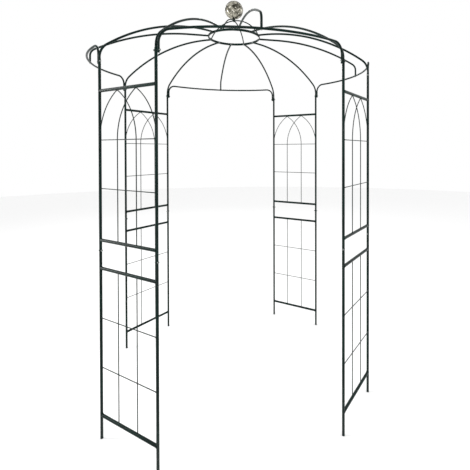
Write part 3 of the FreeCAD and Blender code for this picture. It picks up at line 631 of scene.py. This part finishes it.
# %% Crown rods
CROWN_INSET = 0.005
HUB_DEPTH = 0.008
FLAT_HOST_RADIUS = 0.5
hub_bottom = low("finial_hub")
hub_radius = (high("finial_hub", 0) - low("finial_hub", 0)) / 2
crown_rise = hub_bottom + HUB_DEPTH - high("ring")
crown_foot = ring_radius - CROWN_INSET
crown_radius = (crown_foot ** 2 + crown_rise ** 2) / (2 * crown_rise)
crown_centre = UP * (high("ring") + crown_rise - crown_radius)
foot_tilt = math.asin((high("ring") - BITE - crown_centre[2]) / crown_radius)
hub_tilt = math.acos((hub_radius - BITE) / crown_radius)
crown_path = arc(crown_centre, OUTWARD * crown_radius, UP * crown_radius, foot_tilt, hub_tilt, 40)
crown_shells = [turned_about_z(rod(crown_path, CROWN_ROD_RADIUS, SIDEWAYS), angle)
                for angle in post_angles[1::2]]
crown_foot_weld = collar(np.array([crown_foot, 0, high("ring")]), UP, SIDEWAYS,
                         CROWN_ROD_RADIUS, FLAT_HOST_RADIUS)
crown_shells += [turned_about_z(crown_foot_weld, angle) for angle in post_angles[1::2]]
make_piece("crown_rods", crown_shells, "wire_coat", "crown")

ball_low, ball_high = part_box("finial_ball")
ball_radius = (ball_high[2] - ball_low[2]) / 2
ball_centre = np.array([0, 0, (ball_low[2] + ball_high[2]) / 2])
print("crown radius", round(crown_radius, 4), "ball radius", round(ball_radius, 4))

# %% [markdown]
# The hub is a short boss under the ball. Its top is dished to the ball, so the two
# meet along the whole rim.
# %% Ball hub
STUD_RADIUS = 0.003
HUB_CHAMFER = 0.001


def under_ball(radius):
    """Height of the ball's underside at a distance from the axis."""
    return ball_centre[2] - math.sqrt(ball_radius ** 2 - radius ** 2)


dish = [(radius, under_ball(radius)) for radius in np.linspace(hub_radius, STUD_RADIUS, 6)]
hub_outline = [(STUD_RADIUS, hub_bottom), (hub_radius - HUB_CHAMFER, hub_bottom),
               (hub_radius, hub_bottom + HUB_CHAMFER)] + dish
make_piece("ball_hub", [turned(hub_outline, 40)], "frame_coat", "finial_hub")
print("hub radius", round(hub_radius, 4))

# %% [markdown]
# ## The hammered ball
# The ball on top is thin sheet metal, polished and beaten all over with a round
# hammer. Each blow leaves a shallow round dent, and the dents meet in soft ridges.
# The blows are spread evenly over the sphere by the golden angle and then shaken.
# %% Dents of the ball
BLOWS = 220
DENT_DEPTH = 0.00045
DENT_WIDTH = 0.17
BLOW_SHAKE = 0.045
LIGHTEST_BLOW = 0.55
random = np.random.default_rng(7)


def golden_directions(count):
    """Height 1 - 2 (i + 1/2) / n and angle i times the golden angle: even on a sphere."""
    index = np.arange(count)
    height = 1 - 2 * (index + 0.5) / count
    flat = np.sqrt(1 - height ** 2)
    angle = index * math.pi * (3 - math.sqrt(5))
    return np.stack([flat * np.cos(angle), flat * np.sin(angle), height], axis=-1)


blow_places = unit(golden_directions(BLOWS) + random.normal(0, BLOW_SHAKE, (BLOWS, 3)))
blow_depths = DENT_DEPTH * random.uniform(LIGHTEST_BLOW, 1.0, BLOWS)


def dent(directions):
    """The deepest of all dents at each direction; one dent is d (1 - (angle / width)^2)."""
    angle = np.arccos(np.clip(directions @ blow_places.T, -1, 1))
    depths = blow_depths * (1 - (angle / DENT_WIDTH) ** 2)
    return np.maximum(depths, 0).max(axis=-1)


# %% Ball surface
def ball_surface(rows=150, columns=300):
    """(R - dent) times a direction, over height angle and turn, with a point at each pole."""
    tilt = np.linspace(-math.pi / 2, math.pi / 2, rows + 2)[1:-1, None]
    angle = np.linspace(0, 2 * math.pi, columns, endpoint=False)[None, :]
    directions = np.stack([np.cos(tilt) * np.cos(angle), np.cos(tilt) * np.sin(angle),
                           np.sin(tilt) * np.ones_like(angle)], axis=-1)
    radius = ball_radius - dent(directions.reshape(-1, 3)).reshape(rows, columns, 1)
    poles = np.array([-UP, UP])
    pole_points = ball_centre + poles * (ball_radius - dent(poles))[:, None]
    return capped_shell(ball_centre + directions * radius, pole_points[0], pole_points[1])


mirror_ball = make_piece("mirror_ball", [ball_surface()], "ball_mirror", "finial_ball")
print("ball faces:", len(mirror_ball.data.polygons))

# %% [markdown]
# ## Bolts and nuts
# The frame is bolted together by hand. A bolt head is a six-sided prism whose corners
# are turned off to a circle. On a grid, each column knows how far the flat side is
# from the axis there, and the corner cut lowers the points beyond that circle.
# %% Six-sided heads
BOLT_RADIUS = 0.003
HEAD_FLATS = 0.010
HEAD_HEIGHT = 0.004
NUT_HEIGHT = 0.005
BOLT_END = 0.002
THREAD_PITCH = 0.001
THREAD_DEPTH = 0.00035
THREAD_CLEARANCE = 0.00005
SHANK_CHAMFER = 0.0004
SEAT_EDGE = 0.0003
BORE_EDGE = 0.0002
CORNER_CUT = math.tan(math.radians(30))
HEX_COLUMNS = 36
hex_angle = np.linspace(0, 2 * math.pi, HEX_COLUMNS, endpoint=False)
hex_radius = HEAD_FLATS / 2 / np.cos(hex_angle % (math.pi / 3) - math.pi / 6)
face_circle = 0.95 * HEAD_FLATS / 2
corner_drop = np.maximum(hex_radius - face_circle, 0) * CORNER_CUT


def hex_rows(radii, heights):
    """A grid of rows around Z, each with its own radius and height for every column."""
    radii = np.stack([np.broadcast_to(radius, HEX_COLUMNS) for radius in radii])
    heights = np.stack([np.broadcast_to(height, HEX_COLUMNS) for height in heights])
    return np.stack([radii * np.cos(hex_angle), radii * np.sin(hex_angle), heights], axis=-1)


def bolt_head():
    """Flat seat at height 0, six sides, turned corners and a flat top."""
    grid = hex_rows((face_circle, hex_radius, hex_radius, face_circle),
                    (0, SEAT_EDGE, HEAD_HEIGHT - corner_drop, HEAD_HEIGHT))
    return capped_shell(grid, (0, 0, 0), (0, 0, HEAD_HEIGHT))


def hex_nut():
    """Six sides with both faces turned off at the corners, and a round bore."""
    return closed_shell(hex_rows(
        (BOLT_RADIUS, face_circle, hex_radius, hex_radius, face_circle, BOLT_RADIUS),
        (BORE_EDGE, 0, corner_drop, NUT_HEIGHT - corner_drop, NUT_HEIGHT,
         NUT_HEIGHT - BORE_EDGE)))


def bolt_shank(length, threaded, columns=18):
    """r - h (1 + cos(2 pi z / pitch - a)) / 2 where threaded, so the ridge climbs."""
    height = np.arange(0, length, THREAD_PITCH / 8)[:, None]
    angle = np.linspace(0, 2 * math.pi, columns, endpoint=False)[None, :]
    groove = THREAD_DEPTH * (1 + np.cos(2 * math.pi * height / THREAD_PITCH - angle)) / 2
    radius = BOLT_RADIUS - THREAD_CLEARANCE - np.where(height < threaded, groove, 0)
    radius[0] -= SHANK_CHAMFER
    grid = np.stack([radius * np.cos(angle), radius * np.sin(angle),
                     np.broadcast_to(height, radius.shape)], axis=-1)
    return capped_shell(grid, (0, 0, 0), (0, 0, height[-1, 0]))


# %% Put a fastener in its place
def fitted(shell, origin, axis, spin=0.0):
    """Send height to the axis, and turn the shell about it by spin."""
    axis = np.asarray(axis, float)
    helper = UP if abs(axis[2]) < 0.9 else OUTWARD
    beside = unit(np.cross(helper, axis))
    across = np.cross(axis, beside)
    first = math.cos(spin) * beside + math.sin(spin) * across
    return (shell[0] @ np.stack([first, np.cross(axis, first), axis])
            + np.asarray(origin),) + tuple(shell[1:])


def bolt_and_nut(point, side, grip, spin):
    """A bolt along Y through a point: head beyond the grip, nut and thread end behind."""
    axis = np.array([0, side, 0])
    point = np.asarray(point)
    nut_seat = point - axis * POST_RADIUS
    tail = nut_seat - axis * (NUT_HEIGHT + BOLT_END)
    head_seat = point + axis * grip
    length = float(np.linalg.norm(head_seat - tail)) + HEAD_HEIGHT / 2
    bolt = [fitted(bolt_head(), head_seat, axis, spin),
            fitted(bolt_shank(length, NUT_HEIGHT + BOLT_END), tail, axis)]
    return bolt, [fitted(hex_nut(), nut_seat, -axis, 2.3 * spin)]


# %% Bolts through the post joints and the post tops
joint_bolts, joint_nuts, top_bolts, top_nuts = [], [], [], []
for index, post_angle in enumerate(post_angles):
    doorway_side = 2 * (index % 2) - 1
    panel_angle = panel_angles[index // 2]
    through_panel = bolt_and_nut((panel_apothem, doorway_side * panel_width / 2,
                                  joint_bolt_height), doorway_side, POST_RADIUS, 1.1 * index)
    through_top = bolt_and_nut((circle_radius, 0, top_bolt_height), doorway_side,
                               POST_RADIUS + 2 * BAR_RADIUS, 0.7 * index + 0.2)
    for found, angle, bolts, nuts in ((through_panel, panel_angle, joint_bolts, joint_nuts),
                                      (through_top, post_angle, top_bolts, top_nuts)):
        bolts += [turned_about_z(shell, angle) for shell in found[0]]
        nuts += [turned_about_z(shell, angle) for shell in found[1]]
make_piece("bolts_at_joints", joint_bolts, "fastener_steel", "joint_bolts")
make_piece("nuts_at_joints", joint_nuts, "fastener_steel", "joint_nuts")
make_piece("bolts_at_tops", top_bolts, "fastener_steel", "top_bolts")
make_piece("nuts_at_tops", top_nuts, "fastener_steel", "top_nuts")
print("bolts:", 2 * len(post_angles))

# %% [markdown]
# The ribs are held by screws with round heads and a six-sided socket. A head is a
# turned dome that folds back into the socket at its top.
# %% Round screw heads
SCREW_HEAD_RADIUS = 0.0055
SCREW_HEAD_HEIGHT = 0.0035
SCREW_RIM = 0.0003
SOCKET_FLATS = 0.0035
SOCKET_FLOOR = 0.0012
SOCKET_EDGE_ANGLE = 0.42
SHANK_START = 0.0005
INSERT_LENGTH = 0.018


def screw_head():
    """Radius R sin t and height rim + H cos t, then the wall and floor of the socket."""
    turn = np.linspace(math.pi / 2, SOCKET_EDGE_ANGLE, 8)
    socket = hex_radius * SOCKET_FLATS / HEAD_FLATS
    dome = SCREW_RIM + (SCREW_HEAD_HEIGHT - SCREW_RIM) * np.cos(turn)
    radii = [SCREW_HEAD_RADIUS - SCREW_RIM, *(SCREW_HEAD_RADIUS * np.sin(turn)), socket, socket]
    heights = [0.0, *dome, dome[-1], SOCKET_FLOOR]
    return capped_shell(hex_rows(radii, heights), (0, 0, 0), (0, 0, SOCKET_FLOOR - SCREW_RIM))


def rib_screw(seat, axis, grip, spin):
    """A head on its seat and a plain shank the other way."""
    axis = np.asarray(axis, float)
    shank = rod(straight(np.asarray(seat) - axis * SHANK_START,
                         np.asarray(seat) + axis * (grip + INSERT_LENGTH)),
                BOLT_RADIUS, np.roll(axis, 1))
    return [fitted(screw_head(), seat, -axis, spin), shank]


ring_seat = math.sqrt(ring_inside ** 2 - SCREW_HEAD_RADIUS ** 2)
screws = []
for index, angle in enumerate(np.concatenate([post_angles, doorway_angles])):
    fixing = rib_screw((ring_seat, 0, ring_height), OUTWARD, RING_THICKNESS, 0.9 * index)
    screws += [turned_about_z(shell, angle) for shell in fixing]
for index, angle in enumerate(doorway_angles):
    fixing = rib_screw((bar_middle, 0, bar_height - BAR_RADIUS), UP, 2 * BAR_RADIUS, 1.3 * index)
    screws += [turned_about_z(shell, angle) for shell in fixing]
make_piece("screws_of_ribs", screws, "fastener_steel", "rib_screws")
print("screws:", len(post_angles) + 2 * len(doorway_angles))

# %% [markdown]
# ## Writing finishes as sums
# A shader is a graph of nodes. Here a small class wraps one output of a node, and its
# operators add the Math nodes, so a pattern reads like the formula that it is.
# %% Signals and finishes
class Signal:
    """One output in a finish's graph; arithmetic on it adds Math nodes."""

    def __init__(self, finish, socket):
        self.finish, self.socket = finish, socket

    def math(self, operation, *operands):
        """A Math node over the operands."""
        names = ("Value", "Value_001", "Value_002")
        return self.finish.node("Math", {"operation": operation}, dict(zip(names, operands)))

    def __add__(self, other):
        return self.math("ADD", self, other)

    def __sub__(self, other):
        return self.math("SUBTRACT", self, other)

    def __mul__(self, other):
        return self.math("MULTIPLY", self, other)

    __radd__ = __add__
    __rmul__ = __mul__

    def between(self, low, high):
        """0 below low, 1 above high, and smooth between them."""
        return self.finish.node("MapRange", {"interpolation_type": "SMOOTHSTEP"},
                                {"Value": self, "From Min": low, "From Max": high})


class Finish:
    """A material and its graph."""

    def __init__(self, name):
        self.material = bpy.data.materials.new(name)
        self.material.use_nodes = True
        self.tree = self.material.node_tree
        self.tree.nodes.clear()
        self.place = self.node("TexCoord", {}, {}, "Object")

    def node(self, kind, settings, sockets, output=None):
        """Add a node: its settings first, then the value or link of each socket."""
        added = self.tree.nodes.new("ShaderNode" + kind)
        for name, setting in settings.items():
            setattr(added, name, setting)
        inputs = {socket.identifier: socket for socket in added.inputs}
        for name, value in sockets.items():
            if isinstance(value, Signal):
                self.tree.links.new(value.socket, inputs[name])
            else:
                inputs[name].default_value = value
        outputs = {socket.identifier: socket for socket in added.outputs}
        found = outputs[output] if output else next(iter(outputs.values()), None)
        return Signal(self, found)

    def noise(self, size, detail, roughness=0.5):
        """Soft random blotches about as large as the size, in metres."""
        return self.node("TexNoise", {}, {"Vector": self.place, "Scale": 1 / size,
                                          "Detail": detail, "Roughness": roughness})

    def mix(self, share, first, second):
        """Colours blended by a share."""
        return self.node("Mix", {"data_type": "RGBA"},
                         {"Factor_Float": share, "A_Color": first, "B_Color": second},
                         "Result_Color")

    def bump(self, height, strength, distance):
        """A normal tilted by a height pattern."""
        return self.node("Bump", {}, {"Height": height, "Strength": strength,
                                      "Distance": distance})

    def end(self, **sockets):
        """The surface shader and the output; underscores in a name stand for spaces."""
        named = {name.replace("_", " "): value for name, value in sockets.items()}
        surface = self.node("BsdfPrincipled", {}, named)
        self.node("OutputMaterial", {}, {"Surface": surface})
        return self.material


def linear(red, green, blue):
    """A colour picker's 0 to 255 values as the linear colour that a shader wants."""
    share = np.array([red, green, blue]) / 255
    low, high = share / 12.92, ((share + 0.055) / 1.055) ** 2.4
    return (*np.where(share <= 0.04045, low, high).tolist(), 1.0)


# %% [markdown]
# ## Powder coat
# The frame is dipped in dry green powder and baked. The coat is a very dark bottle
# green, glossy but not a mirror, with the fine skin that makers call orange peel. Its
# tone wanders a little, as the powder lies thicker in some places than in others.
# %% The coat of the tubes and of the wires
def powder_coat(name, deep, fresh, gloss):
    """Two close greens blended by broad and fine blotches, over an orange-peel skin."""
    finish = Finish(name)
    cloud = finish.noise(0.11, 3).between(0.35, 0.68)
    speck = finish.noise(0.0035, 2).between(0.42, 0.75)
    tone = finish.mix(cloud * 0.75 + speck * 0.25, deep, fresh)
    smear = finish.noise(0.035, 4, 0.6)
    peel = finish.noise(0.0016, 1) + 0.35 * finish.noise(0.0005, 1)
    skin = finish.bump(peel, 0.22, 0.00012)
    return finish.end(Base_Color=tone, Roughness=gloss + 0.16 * (smear - 0.5) + 0.05 * speck,
                      Normal=skin, Coat_Weight=0.05, Coat_Roughness=0.08,
                      Specular_IOR_Level=0.08)


coat_of_tubes = powder_coat("green_powder_coat", linear(4, 20, 17), linear(9, 35, 30), 0.24)
coat_of_wires = powder_coat("green_wire_coat", linear(8, 22, 19), linear(16, 40, 34), 0.3)

# %% [markdown]
# ## Plated steel
# The bolts, nuts and screws are zinc plated and have dulled outdoors. Zinc shows as grey metal
# with cloudy darker patches, which are also rougher.
# %% Dull zinc plate
def zinc_plate(name):
    """Grey metal with cloudy dark patches that are also rougher."""
    finish = Finish(name)
    cloud = finish.noise(0.004, 4, 0.65).between(0.36, 0.66)
    scratch = finish.noise(0.0006, 2)
    tone = finish.mix(cloud, linear(150, 154, 152), linear(92, 97, 95))
    return finish.end(Base_Color=tone, Metallic=1.0,
                      Roughness=0.26 + 0.2 * cloud + 0.1 * (scratch - 0.5),
                      Normal=finish.bump(scratch, 0.15, 0.0001))


plated_steel = zinc_plate("dull_zinc_plate")

# %% [markdown]
# ## The mirror of the ball
# The ball is bright metal of a warm tone. Between the dents it has clouded to a browner grey in
# dark smudges. Beside them, small near-white spots are painted into its colour as glints: a
# painted highlight.
# %% Warm mottled mirror
def mottled_mirror(name):
    """Warm bright metal, darkened in ragged smudges that are duller too, with painted highlights
    as near-white spots.
    """
    finish = Finish(name)
    stir = finish.noise(0.03, 3, 0.6)
    smudge = finish.noise(0.045, 4, 0.62).between(0.38, 0.6)
    # painted highlight: near-white glints mixed into the colour in small random spots
    painted_glint = finish.noise(0.016, 3, 0.6).between(0.56, 0.66)
    clouded = finish.mix(smudge, linear(172, 168, 154), linear(52, 50, 42))
    tone = finish.mix(painted_glint, clouded, linear(250, 246, 232))
    skin = finish.bump(stir + 0.3 * finish.noise(0.004, 2), 0.25, 0.0012)
    return finish.end(Base_Color=tone, Metallic=1.0,
                      Roughness=0.1 + 0.16 * smudge, Normal=skin)


ball_mirror = mottled_mirror("warm_mottled_mirror")

# %% Give every piece and every CAD node its finish
finishes = {"frame_coat": coat_of_tubes, "wire_coat": coat_of_wires,
            "fastener_steel": plated_steel, "ball_mirror": ball_mirror}
for piece, finish in pieces:
    piece.data.materials.append(finishes[finish])
for entry in frame["record"]["subparts"]:
    mesh = frame["nodes"][entry["node"]].data
    mesh.materials.clear()
    mesh.materials.append(finishes[entry["material_slot"]])
print("pieces:", len(pieces), "finishes:", len(finishes))

# %% [markdown]
# ## The studio
# A pale round floor fades into a white room, whose even light leaves no hard shadow.
# A tall light on the left draws a bright line along the rails, and three small ones
# put a soft glint on the posts, the bends and the ball.
# %% Floor
FLOOR_RADIUS = 14.0
FLOOR_GREY = 0.93


def disc(radius, rows=24, columns=96):
    """(r cos a, r sin a, 0) over rings and turns, with one point in the middle."""
    spread = radius * np.linspace(0, 1, rows + 1)[1:, None]
    angle = np.linspace(0, 2 * math.pi, columns, endpoint=False)[None, :]
    rings = np.stack([spread * np.cos(angle), spread * np.sin(angle),
                      np.zeros((rows, columns))], axis=-1).reshape(-1, 3)
    index = np.arange(rows * columns).reshape(rows, columns)
    right = np.roll(index, -1, axis=1)
    quads = np.stack([index[:-1], index[1:], right[1:], right[:-1]], axis=-1).reshape(-1, 4)
    middle = np.full(columns, rows * columns)
    fan = np.stack([middle, index[0], right[0]], axis=-1)
    return np.vstack([rings, [[0, 0, 0]]]), quads.tolist() + fan.tolist()


floor_points, floor_faces = disc(FLOOR_RADIUS)
floor_mesh = bpy.data.meshes.new("studio_floor")
floor_mesh.from_pydata(floor_points.tolist(), [], floor_faces)
studio_floor = bpy.data.objects.new("studio_floor", floor_mesh)
bpy.context.scene.collection.objects.link(studio_floor)
paint = Finish("pale_floor_paint")
studio_floor.data.materials.append(
    paint.end(Base_Color=(FLOOR_GREY, FLOOR_GREY, FLOOR_GREY, 1.0), Roughness=0.9))

# %% White room
world = bpy.data.worlds.new("white_room")
world.use_nodes = True
background = world.node_tree.nodes["Background"]
background.inputs["Color"].default_value = (1.0, 1.0, 1.0, 1.0)
background.inputs["Strength"].default_value = 1.0
bpy.context.scene.world = world
bpy.context.scene.view_settings.view_transform = "Standard"

# %% Soft lights
MIDDLE = Vector((0, 0, 1.3))


def soft_light(name, place, width, height, power):
    """An area light that faces the middle of the pavilion; no camera sees it."""
    light = bpy.data.lights.new(name, "AREA")
    light.shape, light.size, light.size_y, light.energy = "RECTANGLE", width, height, power
    lamp = bpy.data.objects.new(name, light)
    lamp.location = place
    lamp.rotation_euler = (MIDDLE - Vector(place)).to_track_quat("-Z", "Y").to_euler()
    lamp.visible_camera = False
    bpy.context.scene.collection.objects.link(lamp)


soft_light("left_tall_light", (-5.0, 0.7, 2.2), 0.7, 4.0, 150)
soft_light("right_light", (4.8, -2.6, 3.8), 1.0, 1.0, 45)
soft_light("back_light", (0.6, 5.6, 4.6), 1.2, 1.2, 45)
soft_light("front_light", (-0.8, -5.0, 2.6), 0.8, 0.8, 35)

# %% [markdown]
# ## The camera
# The camera stands close in front of the pavilion at the height of a tall person's
# eyes, and looks level so that the posts stay upright in the picture. The lens is
# shifted down and to the side to bring the feet into the frame.
# %% Camera
CAMERA_PLACE = (-0.3826, -2.7817, 1.610)
CAMERA_YAW, CAMERA_PITCH, CAMERA_ROLL = 14.31, -0.56, 0.10
camera = bpy.data.objects.new("camera", bpy.data.cameras.new("camera"))
camera.data.sensor_width = 36.0
camera.data.lens = 28.97
camera.data.shift_x = -0.0902
camera.data.shift_y = -0.1721
camera.data.clip_start, camera.data.clip_end = 0.05, 100.0
camera.location = CAMERA_PLACE
camera.rotation_euler = (math.radians(90 + CAMERA_PITCH), math.radians(CAMERA_ROLL),
                         math.radians(-CAMERA_YAW))
bpy.context.scene.collection.objects.link(camera)
bpy.context.scene.camera = camera
print("camera at", [round(value, 3) for value in camera.location])
